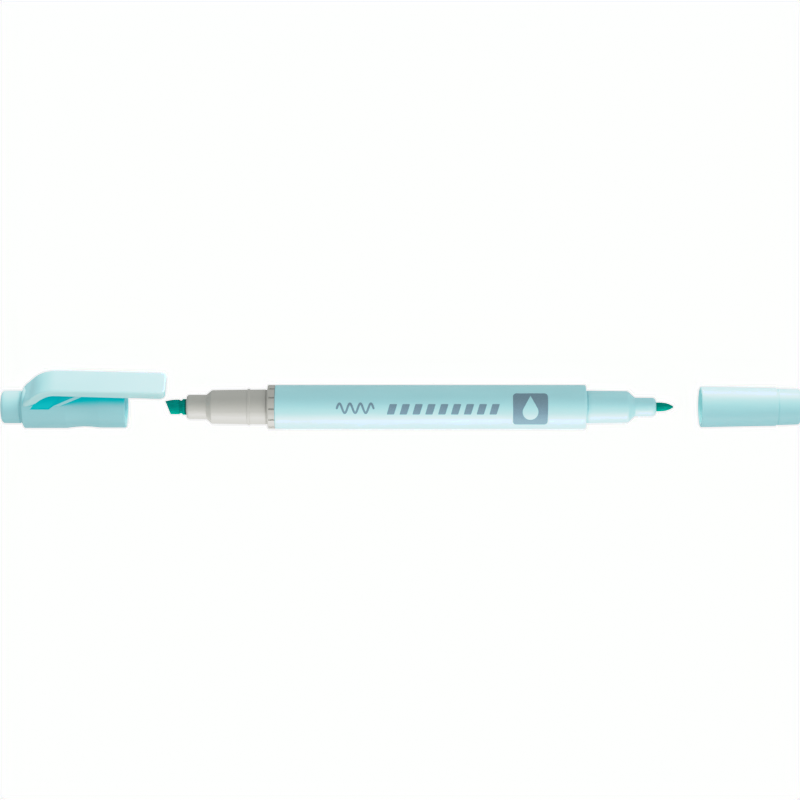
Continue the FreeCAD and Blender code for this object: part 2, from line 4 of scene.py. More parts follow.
import bmesh
import bpy
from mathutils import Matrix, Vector
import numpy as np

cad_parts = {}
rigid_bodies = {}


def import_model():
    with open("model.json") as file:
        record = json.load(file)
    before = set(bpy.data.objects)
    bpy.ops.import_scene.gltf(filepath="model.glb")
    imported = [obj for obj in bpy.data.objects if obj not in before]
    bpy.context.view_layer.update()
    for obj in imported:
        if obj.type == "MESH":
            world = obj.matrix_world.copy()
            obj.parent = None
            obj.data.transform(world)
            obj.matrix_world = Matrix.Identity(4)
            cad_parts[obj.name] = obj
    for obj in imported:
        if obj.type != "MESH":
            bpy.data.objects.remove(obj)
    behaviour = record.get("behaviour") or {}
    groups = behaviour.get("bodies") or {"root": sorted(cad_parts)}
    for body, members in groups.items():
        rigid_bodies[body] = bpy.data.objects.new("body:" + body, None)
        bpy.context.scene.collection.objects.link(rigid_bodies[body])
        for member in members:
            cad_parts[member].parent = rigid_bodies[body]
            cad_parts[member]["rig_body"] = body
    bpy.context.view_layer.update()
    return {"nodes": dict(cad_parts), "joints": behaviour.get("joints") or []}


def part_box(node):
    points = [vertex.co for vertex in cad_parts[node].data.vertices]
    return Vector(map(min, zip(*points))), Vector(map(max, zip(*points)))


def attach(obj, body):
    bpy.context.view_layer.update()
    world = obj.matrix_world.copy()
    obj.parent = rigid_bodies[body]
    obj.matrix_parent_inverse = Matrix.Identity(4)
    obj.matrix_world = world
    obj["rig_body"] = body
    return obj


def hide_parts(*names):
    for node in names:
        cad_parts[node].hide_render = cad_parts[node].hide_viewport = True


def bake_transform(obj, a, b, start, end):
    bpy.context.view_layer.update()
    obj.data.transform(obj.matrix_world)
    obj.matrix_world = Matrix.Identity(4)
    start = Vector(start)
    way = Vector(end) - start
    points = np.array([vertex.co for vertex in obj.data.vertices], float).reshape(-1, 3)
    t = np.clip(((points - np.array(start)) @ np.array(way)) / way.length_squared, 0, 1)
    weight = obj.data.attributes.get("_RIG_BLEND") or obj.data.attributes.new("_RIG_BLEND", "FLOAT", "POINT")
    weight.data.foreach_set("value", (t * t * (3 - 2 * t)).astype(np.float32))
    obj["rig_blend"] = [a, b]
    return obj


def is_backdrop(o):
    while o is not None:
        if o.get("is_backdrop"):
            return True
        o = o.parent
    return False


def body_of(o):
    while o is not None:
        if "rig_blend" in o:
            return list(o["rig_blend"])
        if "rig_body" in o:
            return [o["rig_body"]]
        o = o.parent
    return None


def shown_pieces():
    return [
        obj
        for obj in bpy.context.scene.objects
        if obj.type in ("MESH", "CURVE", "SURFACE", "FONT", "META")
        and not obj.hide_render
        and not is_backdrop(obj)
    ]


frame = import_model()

# A twin-tip highlighter with its caps off. Lengths are in millimetres unless they say metres, and
# are turned into metres by MM. Stations along the pen are measured outwards from the faces that the
# frame gives.

MM = 0.001
AROUND = 144  # columns of vertices round a turned piece
SHARP_DEGREES = 32  # an edge bent more than this shows as an edge
ROUND_STEPS = 5  # parts of a round corner
SAME_PLACE_M = 1e-7  # vertices closer than this, in metres, are one
TOWARDS_CAMERA = Vector((0, -1, 1)).normalized()
PICTURE_UP = Vector((0, 1, 1)).normalized()


# ---- where the frame puts things

def face_x(node, side):
    """The station, in mm, of a node's lowest (-1) or highest (+1) face along the pen."""
    low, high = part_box(node)
    return (high.x if side > 0 else low.x) / MM


def radius_of(node):
    """A node's outer radius in mm, read across the pen."""
    low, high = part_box(node)
    return (high.y - low.y) / 2 / MM


BARREL_R = radius_of("barrel")
CHISEL_FACE = face_x("barrel", -1)
FINE_FACE = face_x("barrel", 1)
CLIP_MOUTH = face_x("clip_cap_shell", 1)
FINE_MOUTH = face_x("fine_cap_shell", -1)
HINGES = {joint["name"]: joint for joint in frame["joints"]}
CLIP_HINGE = Vector(HINGES["clip_flex"]["pos_m"])
NIB_HINGE = Vector(HINGES["nib_flex"]["pos_m"])


# ---- mesh tools

def rounded_outline(corners, closed):
    """Corner points (x, r, fillet) turned into a finer outline with true round corners."""
    count = len(corners)
    outline = []
    for index, (x, r, fillet) in enumerate(corners):
        here = Vector((x, r))
        if fillet <= 0 or (not closed and index in (0, count - 1)):
            outline.append(here)
            continue
        before = Vector(corners[index - 1][:2])
        after = Vector(corners[(index + 1) % count][:2])
        back = (before - here).normalized()
        ahead = (after - here).normalized()
        half = back.angle(ahead) / 2
        reach = fillet / math.tan(half)
        centre = here + (back + ahead).normalized() * (fillet / math.sin(half))
        first = here + back * reach - centre
        whole_turn = first.angle_signed(here + ahead * reach - centre)
        for step in range(ROUND_STEPS + 1):
            turn = whole_turn * step / ROUND_STEPS
            cos, sin = math.cos(-turn), math.sin(-turn)
            outline.append(centre + Vector((first.x * cos - first.y * sin,
                                            first.x * sin + first.y * cos)))
    return outline


def with_support(outline, closed, margin=0.1, longest=2.5):
    """Adds points near the ends of long spans and along them, so that shading stays even."""
    points = []
    spans = len(outline) if closed else len(outline) - 1
    for index in range(spans):
        start = outline[index]
        end = outline[(index + 1) % len(outline)]
        length = (end - start).length
        points.append(start)
        if length < 4 * margin:
            continue
        inner = length - 2 * margin
        parts = max(1, math.ceil(inner / longest))
        for part in range(parts + 1):
            points.append(start.lerp(end, (margin + inner * part / parts) / length))
    if not closed:
        points.append(outline[-1])
    return points


def finish_mesh(name, bm, sharp_degrees=SHARP_DEGREES):
    """Makes an object of a bmesh, smooth except along its sharp edges."""
    bmesh.ops.remove_doubles(bm, verts=bm.verts, dist=SAME_PLACE_M)
    bmesh.ops.recalc_face_normals(bm, faces=bm.faces)
    for face in bm.faces:
        face.smooth = True
    for edge in bm.edges:
        inside = len(edge.link_faces) == 2
        edge.smooth = inside and edge.calc_face_angle() < math.radians(sharp_degrees)
    mesh = bpy.data.meshes.new(name)
    bm.to_mesh(mesh)
    bm.free()
    piece = bpy.data.objects.new(name, mesh)
    bpy.context.scene.collection.objects.link(piece)
    return piece


def lathe(name, corners, face, outwards, closed=True, angles=None, shape=None):
    """A turned piece: corners are (station, radius, fillet), stations run outwards from a face."""
    angles = angles or [math.tau * step / AROUND for step in range(AROUND)]
    outline = with_support(rounded_outline(corners, closed), closed)
    bm = bmesh.new()
    rings = []
    for station, radius in outline:
        x = (face + outwards * station) * MM
        if radius < 1e-6:
            rings.append([bm.verts.new((x, 0, 0))])
            continue
        ring = []
        for angle in angles:
            r = (shape(station, radius, angle) if shape else radius) * MM
            ring.append(bm.verts.new((x, r * math.cos(angle), r * math.sin(angle))))
        rings.append(ring)
    links = len(rings) if closed else len(rings) - 1
    for index in range(links):
        join_rings(bm, rings[index], rings[(index + 1) % len(rings)])
    return finish_mesh(name, bm)


def join_rings(bm, ring, following):
    """Quads between two rings of vertices, or triangles where one is a single point."""
    count = max(len(ring), len(following))
    if count == 1:
        return
    for step in range(count):
        after = (step + 1) % count
        corner = [ring[step % len(ring)], ring[after % len(ring)],
                  following[after % len(following)], following[step % len(following)]]
        bm.faces.new(list(dict.fromkeys(corner)))


def sweep(name, rings, sharp_degrees=SHARP_DEGREES):
    """A closed solid through rings of points in metres, with flat ends."""
    bm = bmesh.new()
    made = [[bm.verts.new(point) for point in ring] for ring in rings]
    for ring, following in zip(made, made[1:]):
        join_rings(bm, ring, following)
    for end in (made[0], made[-1]):
        bm.faces.new(end)
    return finish_mesh(name, bm, sharp_degrees)


def boolean(piece, other, operation):
    """Cuts or joins a piece with another, which is then removed."""
    step = piece.modifiers.new("shape", "BOOLEAN")
    step.object = other
    step.operation = operation
    step.solver = "EXACT"
    bpy.context.view_layer.update()
    result = piece.evaluated_get(bpy.context.evaluated_depsgraph_get())
    bm = bmesh.new()
    bm.from_mesh(result.to_mesh())
    result.to_mesh_clear()
    name = piece.name
    for old in (piece, other):
        mesh = old.data
        bpy.data.objects.remove(old)
        bpy.data.meshes.remove(mesh)
    return finish_mesh(name, bm)


def even_normals(piece):
    """Keeps wide flat faces flat in shading beside narrow rounds."""
    step = piece.modifiers.new("even_normals", "WEIGHTED_NORMAL")
    step.keep_sharp = True
    step.weight = 80


# ---- material tools

MIX_COLOURS = (6, 7)  # a colour mix node's two colour inputs
MIX_RESULT = 2  # its colour output


class Paint:
    """A small helper that adds and links shader nodes of one material."""

    def __init__(self, name):
        self.material = bpy.data.materials.new(name)
        self.material.use_nodes = True
        self.tree = self.material.node_tree
        self.tree.nodes.clear()
        self.surface = self.add("ShaderNodeBsdfPrincipled")
        output = self.add("ShaderNodeOutputMaterial")
        self.link(self.surface, "BSDF", output, "Surface")
        place = self.add("ShaderNodeTexCoord")
        self.place = place.outputs["Object"]

    def add(self, kind, **values):
        node = self.tree.nodes.new(kind)
        for name, value in values.items():
            setattr(node, name, value)
        return node

    def link(self, source, output, target, socket):
        self.tree.links.new(source.outputs[output], target.inputs[socket])

    def noise(self, size_mm, detail=3.0, stretch=(1, 1, 1), distortion=0.0):
        """Noise whose features are about size_mm across, longer along a stretched axis."""
        scale = self.add("ShaderNodeMapping")
        self.tree.links.new(self.place, scale.inputs["Vector"])
        pitch = 1 / (size_mm * MM)
        scale.inputs["Scale"].default_value = [pitch / part for part in stretch]
        noise = self.add("ShaderNodeTexNoise")
        noise.inputs["Scale"].default_value = 1.0
        noise.inputs["Detail"].default_value = detail
        noise.inputs["Distortion"].default_value = distortion
        self.link(scale, "Vector", noise, "Vector")
        return noise

    def ramp(self, source, output, stops):
        """A colour ramp over a value; stops are (position, colour)."""
        ramp = self.add("ShaderNodeValToRGB")
        elements = ramp.color_ramp.elements
        while len(elements) < len(stops):
            elements.new(0.5)
        for element, (position, colour) in zip(elements, stops):
            element.position = position
            element.color = (*colour, 1.0)
        self.link(source, output, ramp, "Fac")
        return ramp

    def mix(self, factor, first, second, kind="MIX"):
        """Mixes two colours; each may be a node with a Color output or a plain colour."""
        mix = self.add("ShaderNodeMix", data_type="RGBA", blend_type=kind)
        for socket, colour in zip(MIX_COLOURS, (first, second)):
            if isinstance(colour, tuple):
                mix.inputs[socket].default_value = (*colour, 1.0)
            else:
                output = MIX_RESULT if colour.bl_idname == "ShaderNodeMix" else "Color"
                self.link(colour, output, mix, socket)
        if isinstance(factor, float):
            mix.inputs[0].default_value = factor
        else:
            self.tree.links.new(factor, mix.inputs[0])
        return mix

    def remap(self, source, output, start, end, low=0.0, high=1.0):
        """Maps a value from start-end to low-high and holds it at the ends."""
        remap = self.add("ShaderNodeMapRange")
        for number, value in enumerate((start, end, low, high), 1):
            remap.inputs[number].default_value = value
        self.link(source, output, remap, "Value")
        return remap

    def bump(self, source, output, height_mm, under=None):
        bump = self.add("ShaderNodeBump")
        bump.inputs["Strength"].default_value = 1.0
        bump.inputs["Distance"].default_value = height_mm * MM
        self.link(source, output, bump, "Height")
        if under:
            self.link(under, "Normal", bump, "Normal")
        return bump

    def covered(self, reach_mm, covered_at, open_at):
        """1 where surfaces within reach leave a place less open than covered_at, 0 in the open."""
        open_sky = self.add("ShaderNodeAmbientOcclusion", samples=16)
        open_sky.inputs["Distance"].default_value = reach_mm * MM
        return self.remap(open_sky, "AO", open_at, covered_at)

    def sideways(self):
        """1 on faces turned to the sides of the pen, 0 on faces turned up, down or along it."""
        geometry = self.add("ShaderNodeNewGeometry")
        split = self.add("ShaderNodeSeparateXYZ")
        self.link(geometry, "Normal", split, "Vector")
        size = self.add("ShaderNodeMath", operation="ABSOLUTE")
        self.link(split, "Y", size, 0)
        return self.remap(size, "Value", 0.35, 0.9)

    def edge_mask(self, start, end):
        """1 on convex edges, 0 on flat and hollow places."""
        geometry = self.add("ShaderNodeNewGeometry")
        return self.remap(geometry, "Pointiness", start, end)


def linear(red, green, blue):
    """An 0-255 screen colour as the linear colour a shader takes."""
    def curve(value):
        value = value / 255
        return value / 12.92 if value <= 0.04045 else ((value + 0.055) / 1.055) ** 2.4
    return (curve(red), curve(green), curve(blue))


def scaled(colour, factor):
    return tuple(min(1.0, part * factor) for part in colour)


def moulded(name, colour, roughness, grain_mm, grain_high, milky=0.0, glow=None, thin=None):
    """Injection-moulded plastic: faint clouding, a fine skin and paler rubbed edges.

    Tinted plastic is a little translucent. thin is a paler colour painted on faces turned to the
    sides of the pen: painted light, for light let through a thin piece seen edge on. glow is
    (reach_mm, covered, open, tint, light): where other surfaces within reach cover the place, it
    takes the tint as painted shade, the light as a painted glow and less sheen.
    """
    paint = Paint(name)
    clouds = paint.noise(9.0, detail=2.0, stretch=(3, 1, 1))
    tone = paint.ramp(clouds, "Fac", [(0.3, scaled(colour, 0.965)), (0.7, scaled(colour, 1.03))])
    grain = paint.noise(grain_mm, detail=4.0)
    speck = paint.ramp(grain, "Fac", [(0.35, (0.97, 0.97, 0.97)), (0.65, (1.0, 1.0, 1.0))])
    tone = paint.mix(1.0, tone, speck, "MULTIPLY")
    worn = paint.edge_mask(0.53, 0.62)
    scuff = paint.noise(0.8, detail=5.0)
    amount = paint.add("ShaderNodeMath", operation="MULTIPLY")
    paint.link(worn, "Result", amount, 0)
    paint.link(scuff, "Fac", amount, 1)
    tone = paint.mix(amount.outputs[0], tone, scaled(colour, 1.22))
    haze = paint.remap(paint.noise(2.5), "Fac", 0, 1, roughness - 0.05, roughness + 0.06)
    paint.link(haze, "Result", paint.surface, "Roughness")
    skin = paint.bump(grain, "Fac", grain_high)
    wave = paint.bump(paint.noise(3.5, detail=1.0), "Fac", 0.012, under=skin)
    paint.link(wave, "Normal", paint.surface, "Normal")
    paint.surface.inputs["IOR"].default_value = 1.49
    paint.surface.inputs["Specular IOR Level"].default_value = SHEEN
    if milky:
        paint.surface.inputs["Subsurface Weight"].default_value = milky
        paint.surface.inputs["Subsurface Radius"].default_value = (0.7, 1.0, 1.0)
        paint.surface.inputs["Subsurface Scale"].default_value = 1.6 * MM
    # painted light: faces turned to the sides get the paler colour
    if thin:
        tone = paint.mix(paint.sideways().outputs["Result"], tone, thin)
    # painted shade and painted glow: covered places take the tint, a glow of their own and less sheen
    if glow:
        reach_mm, covered_at, open_at, tint, light = glow
        covered = paint.covered(reach_mm, covered_at, open_at)
        tone = paint.mix(covered.outputs["Result"], tone, tint)
        lit = paint.mix(covered.outputs["Result"], (0.0, 0.0, 0.0), light)
        paint.link(lit, MIX_RESULT, paint.surface, "Emission Color")
        paint.surface.inputs["Emission Strength"].default_value = 1.0
        gloss = paint.remap(covered, "Result", 0, 1, SHEEN, COVERED_SHEEN)
        paint.link(gloss, "Result", paint.surface, "Specular IOR Level")
    paint.link(tone, MIX_RESULT, paint.surface, "Base Color")
    return paint.material


def fibre(name, dark, light, strand_mm, painted_shade_and_light=None):
    """Bonded felt fibre full of ink: long strands along the pen, open and matt.

    The last argument is two factors on its colour, towards picture top and bottom: painted shade
    darkens the top and painted light brightens the bottom. Its creases then also get painted shade.
    """
    paint = Paint(name)
    strands = paint.noise(strand_mm, detail=5.0, stretch=(14, 1, 1), distortion=0.6)
    soak = paint.noise(1.6, detail=2.0)
    tone = paint.ramp(strands, "Fac", [(0.32, dark), (0.68, light)])
    wet = paint.ramp(soak, "Fac", [(0.35, (0.8, 0.86, 0.86)), (0.7, (1.0, 1.0, 1.0))])
    tone = paint.mix(1.0, tone, wet, "MULTIPLY")
    if painted_shade_and_light:
        # painted shade towards picture top, painted light towards picture bottom
        across = paint.add("ShaderNodeVectorMath", operation="DOT_PRODUCT")
        paint.tree.links.new(paint.place, across.inputs[0])
        across.inputs[1].default_value = PICTURE_UP * (-1 / MM)
        lower = paint.remap(across, "Value", -0.2, 1.5)
        share = paint.mix(lower.outputs["Result"], *painted_shade_and_light)
        tone = paint.mix(1.0, tone, share, "MULTIPLY")
        # painted shade: darker in the creases
        painted_crease_shade = paint.covered(0.9, 0.6, 0.97)
        tone = paint.mix(painted_crease_shade.outputs["Result"], tone, scaled(dark, 0.55))
    paint.link(tone, MIX_RESULT, paint.surface, "Base Color")
    haze = paint.remap(strands, "Fac", 0, 1, 0.6, 0.9)
    paint.link(haze, "Result", paint.surface, "Roughness")
    paint.surface.inputs["Specular IOR Level"].default_value = 0.0125
    pits = paint.bump(paint.noise(0.12, detail=3.0), "Fac", 0.02)
    grooves = paint.bump(strands, "Fac", 0.05, under=pits)
    paint.link(grooves, "Normal", paint.surface, "Normal")
    return paint.material


def print_ink(name, colour):
    """Pad-printed ink: even, with slightly broken cover and a satin skin."""
    paint = Paint(name)
    cover = paint.noise(0.25, detail=4.0)
    tone = paint.ramp(cover, "Fac", [(0.3, scaled(colour, 1.1)), (0.6, scaled(colour, 0.97))])
    paint.link(tone, "Color", paint.surface, "Base Color")
    haze = paint.remap(paint.noise(0.9), "Fac", 0, 1, 0.5, 0.66)
    paint.surface.inputs["Specular IOR Level"].default_value = 0.15
    paint.link(haze, "Result", paint.surface, "Roughness")
    skin = paint.bump(cover, "Fac", 0.004)
    paint.link(skin, "Normal", paint.surface, "Normal")
    return paint.material


def clear_film(name):
    """The wick's thin wrap: slightly wrinkled clear film over teal fibre."""
    paint = Paint(name)
    wrinkles = paint.noise(1.2, detail=3.0, stretch=(5, 1, 1))
    stops = [(0.35, linear(150, 215, 210)), (0.7, linear(205, 236, 232))]
    tone = paint.ramp(wrinkles, "Fac", stops)
    paint.link(tone, "Color", paint.surface, "Base Color")
    haze = paint.remap(wrinkles, "Fac", 0, 1, 0.12, 0.25)
    paint.link(haze, "Result", paint.surface, "Roughness")
    paint.link(paint.bump(wrinkles, "Fac", 0.03), "Normal", paint.surface, "Normal")
    return paint.material


def pastel(name, colour, roughness=0.42, **translucence_and_painted_light):
    """The pen's pale blue plastic, all from one grain of mould."""
    return moulded(name, colour, roughness, 0.22, 0.0016, **translucence_and_painted_light)


SHEEN = 0.7
COVERED_SHEEN = 0.1
PASTEL_COLOUR = (0.335, 0.665, 0.715)
# painted light: the paler colour painted on the clip's side faces
PAINTED_SIDE_LIGHT = (0.5, 0.79, 0.8)
GREY_COLOUR = (0.378, 0.386, 0.355)
# the painted shade colour and painted glow of places covered by other surfaces
PAINTED_SHADE_TINT = (0.0, 0.38, 0.41)
PAINTED_SHADE_GLOW = (0.0, 0.2, 0.215)
PAINTED_MOUTH_GLOW = (0.1, 0.18, 0.15)
PASTEL = pastel("pastel_plastic", PASTEL_COLOUR, milky=0.3)
# the clip's and the cap body's copies get painted shade and a painted glow where covered under the clip
PASTEL_CLIP = pastel("pastel_clip_plastic", PASTEL_COLOUR, milky=0.6, thin=PAINTED_SIDE_LIGHT,
                     glow=(4.2, 0.55, 0.9, PAINTED_SHADE_TINT, PAINTED_SHADE_GLOW))
PASTEL_SHADED = pastel("pastel_shaded_plastic", PASTEL_COLOUR, milky=0.3,
                       glow=(6.5, 0.5, 0.85, PAINTED_SHADE_TINT, PAINTED_SHADE_GLOW))
# painted shade: dark teal with a glow of its own, for the hollow under the clip
PASTEL_PAINTED_SHADE = pastel("pastel_painted_shade_plastic", PAINTED_SHADE_TINT, roughness=0.5,
                     glow=(5.0, 0.85, 1.0, PAINTED_SHADE_TINT, PAINTED_SHADE_GLOW))
# painted glow inside the fine cap's mouth, with less sheen there
PASTEL_CAP = pastel("pastel_cap_plastic", PASTEL_COLOUR, milky=0.3,
                    glow=(10.0, 0.3, 0.8, PASTEL_COLOUR, PAINTED_MOUTH_GLOW))
GREY = moulded("grey_plastic", GREY_COLOUR, 0.46, 0.16, 0.004)
NATURAL = moulded("natural_plastic", linear(206, 222, 222), 0.42, 0.3, 0.002)
NIB_DARK = linear(0, 108, 101)
NIB_LIGHT = linear(0, 166, 146)
NIB = fibre("nib_fibre", NIB_DARK, NIB_LIGHT, 0.09)
# painted shade towards picture top and in creases, painted light towards picture bottom
NIB_CHISEL = fibre("chisel_nib_fibre", NIB_DARK, NIB_LIGHT, 0.09,
                   painted_shade_and_light=((0.84, 0.82, 0.88), (1.4, 1.42, 1.42)))
WICK = fibre("ink_wick", linear(40, 150, 140), linear(150, 214, 206), 0.12)
INK = print_ink("print_ink", linear(108, 136, 149))
FILM = clear_film("clear_film")


def coat(piece, material):
    """Gives a piece one material."""
    piece.data.materials.clear()
    piece.data.materials.append(material)


def stand_for(piece, node, body, material):
    """Dresses a piece, puts it in a CAD node's place and lets it ride on the node's body."""
    coat(piece, material)
    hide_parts(node)
    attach(piece, body)


# ---- the pen

BARREL_WALL = 0.9
PLUG_R = BARREL_R - BARREL_WALL - 0.01  # the holders' ends, pressed into the barrel
WICK_ROOM_R = 3.76  # their bore, round the wick


def make_barrel():
    bore = BARREL_R - BARREL_WALL
    length = FINE_FACE - CHISEL_FACE
    piece = lathe("barrel_tube", [
        (0, bore, 0),
        (length, bore, 0.15),
        (length, BARREL_R, 0.28),
        (0, BARREL_R, 0.28),
    ], CHISEL_FACE, 1)
    stand_for(piece, "barrel", "pen", PASTEL)


FLUTES = 12
FIRST_FLUTE = 20.5  # degrees round the pen
FLUTE_HALF = 2.35  # degrees from a flute's middle to its edge
FLUTE_WALL = 0.45  # degrees its side wall takes
FLUTE_DEEP = 0.3
FLUTE_END = 1.62  # station where it ends
FLUTE_END_WALL = 0.16


def flute_angles():
    """Columns placed so that each flute has straight walls and a flat floor."""
    offsets = [0, 1.0, FLUTE_HALF - FLUTE_WALL, FLUTE_HALF, 3.1, 6, 9, 12]
    sector = 360 / FLUTES
    angles = []
    for number in range(FLUTES):
        centre = FIRST_FLUTE + number * sector
        angles += [centre + offset for offset in offsets]
        angles += [centre + sector - offset for offset in reversed(offsets[1:])]
        angles.append(centre + sector / 2)
    return [math.radians(angle) for angle in sorted(angles)]


def fluted(station, radius, angle):
    """Sinks the flange's rim in its flutes, which are open towards the barrel."""
    on_rim = radius >= BARREL_R - 0.45 and -0.01 <= station <= FLUTE_END + 0.04
    if not on_rim:
        return radius
    sector = math.tau / FLUTES
    offset = abs((angle - math.radians(FIRST_FLUTE) + sector / 2) % sector - sector / 2)
    wall = (math.radians(FLUTE_HALF) - offset) / math.radians(FLUTE_WALL)
    end = (FLUTE_END - station) / FLUTE_END_WALL
    depth = max(0.0, min(1.0, wall)) * max(0.0, min(1.0, end))
    return radius - FLUTE_DEEP * depth


def make_chisel_section():
    back, front, nozzle = 4.64, 4.44, 3.25
    tip = CHISEL_FACE - face_x("chisel_holder", -1)
    seat = FINE_FACE - face_x("fine_holder", -1)
    holder = lathe("chisel_section", [
        (-seat, WICK_ROOM_R, 0),
        (-seat, PLUG_R, 0),
        (0, PLUG_R, 0),
        (0, BARREL_R, 0),
        (1.45, BARREL_R, 0),
        (1.98, BARREL_R, 0.38),
        (1.98, back - 0.14, 0),
        (2.38, back - 0.14, 0),
        (2.38, back, 0.05),
        (6.45, 4.6, 0.15),
        (6.75, 4.79, 0.12),
        (7.1, 4.79, 0.12),
        (7.4, 4.6, 0.15),
        (16.65, front, 0.4),
        (18.05, nozzle, 0.4),
        (tip, nozzle, 0.85),
        (tip, 0, 0),
        (9.0, 0, 0),
        (9.0, WICK_ROOM_R, 0),
    ], CHISEL_FACE, -1, angles=flute_angles(), shape=fluted)
    slot = nib_slot(9.5, tip + 1)
    holder = boolean(holder, slot, "DIFFERENCE")
    even_normals(holder)
    stand_for(holder, "chisel_holder", "pen", GREY)


# The broad faces of the chisel nib look along NIB_FLAT, and its width runs along NIB_WIDE.
NIB_FLAT = Vector(HINGES["nib_flex"]["axis"]).normalized()
NIB_WIDE = Vector((1, 0, 0)).cross(NIB_FLAT).normalized()
if NIB_WIDE.z < 0:
    NIB_WIDE.negate()


def nib_point(station, wide, thick):
    """A point of the nib in metres; the station runs outwards from the barrel's end face."""
    along = Vector(((CHISEL_FACE - station) * MM, 0, 0))
    return along + NIB_WIDE * (wide * MM) + NIB_FLAT * (thick * MM)


def nib_slot(start, end):
    """The hole in the nozzle that grips the nib, with a little room round it."""
    wide, thick = NIB_HALF_WIDE + SLOT_GAP, NIB_HALF_THICK + SLOT_GAP
    corners = [(-wide, -thick), (wide, -thick), (wide, thick), (-wide, thick)]
    rings = [[nib_point(station, *corner) for corner in corners] for station in (start, end)]
    return sweep("nib_slot", rings)


def rounded_rectangle(half_wide, half_thick, radius, wide_steps, side_steps=2, corner_steps=4):
    """Points round a rectangle with round corners, starting at one corner's first point."""
    radius = min(radius, half_wide * 0.98, half_thick * 0.98)
    points = []
    spans = [(1, 1, wide_steps), (-1, 1, side_steps), (-1, -1, wide_steps), (1, -1, side_steps)]
    corners = []
    for number, (side, up, _) in enumerate(spans):
        centre = Vector((side * (half_wide - radius), up * (half_thick - radius)))
        for step in range(corner_steps + 1):
            turn = math.pi / 2 * (number + step / corner_steps)
            corners.append(centre + radius * Vector((math.cos(turn), math.sin(turn))))
    per_corner = corner_steps + 1
    for number, (_, _, steps) in enumerate(spans):
        group = corners[number * per_corner:(number + 1) * per_corner]
        points += group
        following = corners[((number + 1) * per_corner) % len(corners)]
        points += [group[-1].lerp(following, step / steps) for step in range(1, steps)]
    return points


def smooth_step(value, start, end):
    part = max(0.0, min(1.0, (value - start) / (end - start)))
    return part * part * (3 - 2 * part)


NIB_HALF_WIDE = 2.1
NIB_HALF_THICK = 1.15
SLOT_GAP = 0.02
NECK_HALF = (0.2, 0.52)  # along the nib, to the end of the neck's floor and of its walls
NECK_IN_EDGES = 0.36  # how deep the neck is cut into the nib's narrow edges ...
NECK_ON_TIP = 0.26  # ... the same, measured from the tip's narrower edges
NECK_IN_FACES = 0.25
TIP_NARROWER = 0.13  # a side
TIP_SLANT = 1.44  # how much further the writing edge's long corner reaches
TIP_DROP = 0.42  # how far the long corner's side falls in
TIP_FALL_START = 1.85  # past the hinge
TIP_EDGE = 0.22  # round of the writing edge
NIB_BEND_HALF = 0.45  # the bend is spread this far each side of the hinge


def make_chisel_nib():
    """One flexible nib: bar, waisted neck and slanted wedge, bent at its neck."""
    hinge = CHISEL_FACE - NIB_HINGE.x / MM
    long_tip = CHISEL_FACE - face_x("chisel_nib_tip", -1)
    back = CHISEL_FACE - face_x("chisel_nib_stem", 1)
    short_tip = long_tip - TIP_SLANT
    by_neck = [0.14, 0.28, 0.4, 0.5, 0.62, 0.9, 1.3]
    stations = [back, back + 0.2, 14, 20, 22.5]
    stations += [hinge - offset for offset in reversed(by_neck)]
    stations += [hinge] + [hinge + offset for offset in by_neck + [1.7]]
    stations += [short_tip - 0.6, short_tip - 0.3, short_tip - 0.12]
    rings = [nib_ring(station, hinge, short_tip, long_tip, 0) for station in stations]
    edge_steps = 4
    for step in range(1, edge_steps + 1):
        rings.append(nib_ring(short_tip, hinge, short_tip, long_tip, step / edge_steps))
    piece = sweep("chisel_nib", rings, 50)
    even_normals(piece)
    coat(piece, NIB_CHISEL)
    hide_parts("chisel_nib_stem", "chisel_nib_tip")
    back_half = Vector((NIB_BEND_HALF * MM, 0, 0))
    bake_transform(piece, "pen", "nib_tip", start=NIB_HINGE + back_half, end=NIB_HINGE - back_half)


def nib_ring(station, hinge, short_tip, long_tip, closing):
    """One section of the nib. It leans more and more with the slant of the writing edge."""
    past = station - hinge
    notch = 1 - smooth_step(abs(past), *NECK_HALF)
    on_tip = smooth_step(past, 0, 0.5)
    cut_in = NECK_IN_EDGES + (NECK_ON_TIP - NECK_IN_EDGES) * on_tip
    half_wide = NIB_HALF_WIDE - TIP_NARROWER * on_tip - cut_in * notch
    half_thick = NIB_HALF_THICK - NECK_IN_FACES * notch
    shrink = TIP_EDGE * (1 - math.sqrt(max(0.0, 1 - closing ** 2)))
    lean = smooth_step(station, hinge + 0.9, short_tip)
    fall_start = hinge + TIP_FALL_START
    ring = []
    outline = rounded_rectangle(half_wide - shrink * 0.6, half_thick - shrink, 0.26, 10)
    for wide, thick in outline:
        share = (wide + half_wide) / (2 * half_wide)
        out = station - TIP_EDGE * lean + TIP_SLANT * share * lean + closing * TIP_EDGE
        fall = max(0.0, (out - fall_start) / (long_tip - fall_start))
        ring.append(nib_point(out, wide - TIP_DROP * fall * share * share, thick))
    return ring


def make_fine_section():
    nib_bore = 1.23
    tip = face_x("fine_holder", 1) - FINE_FACE
    seat = FINE_FACE - face_x("fine_holder", -1)
    piece = lathe("fine_section", [
        (-seat, WICK_ROOM_R, 0),
        (-seat, PLUG_R, 0),
        (-0.3, PLUG_R, 0.05),
        (-0.3, 4.34, 0),
        (0.15, 4.34, 0.04),
        (0.15, 4.22, 0),
        (0.45, 4.22, 0),
        (0.45, 4.34, 0.05),
        (11.05, 4.19, 0.8),
        (12.95, 2.5, 0.5),
        (tip, 2.44, 1.0),
        (tip, nib_bore, 0),
        (4.0, nib_bore, 0),
        (4.0, WICK_ROOM_R, 0),
    ], FINE_FACE, 1)
    even_normals(piece)
    stand_for(piece, "fine_holder", "pen", PASTEL)


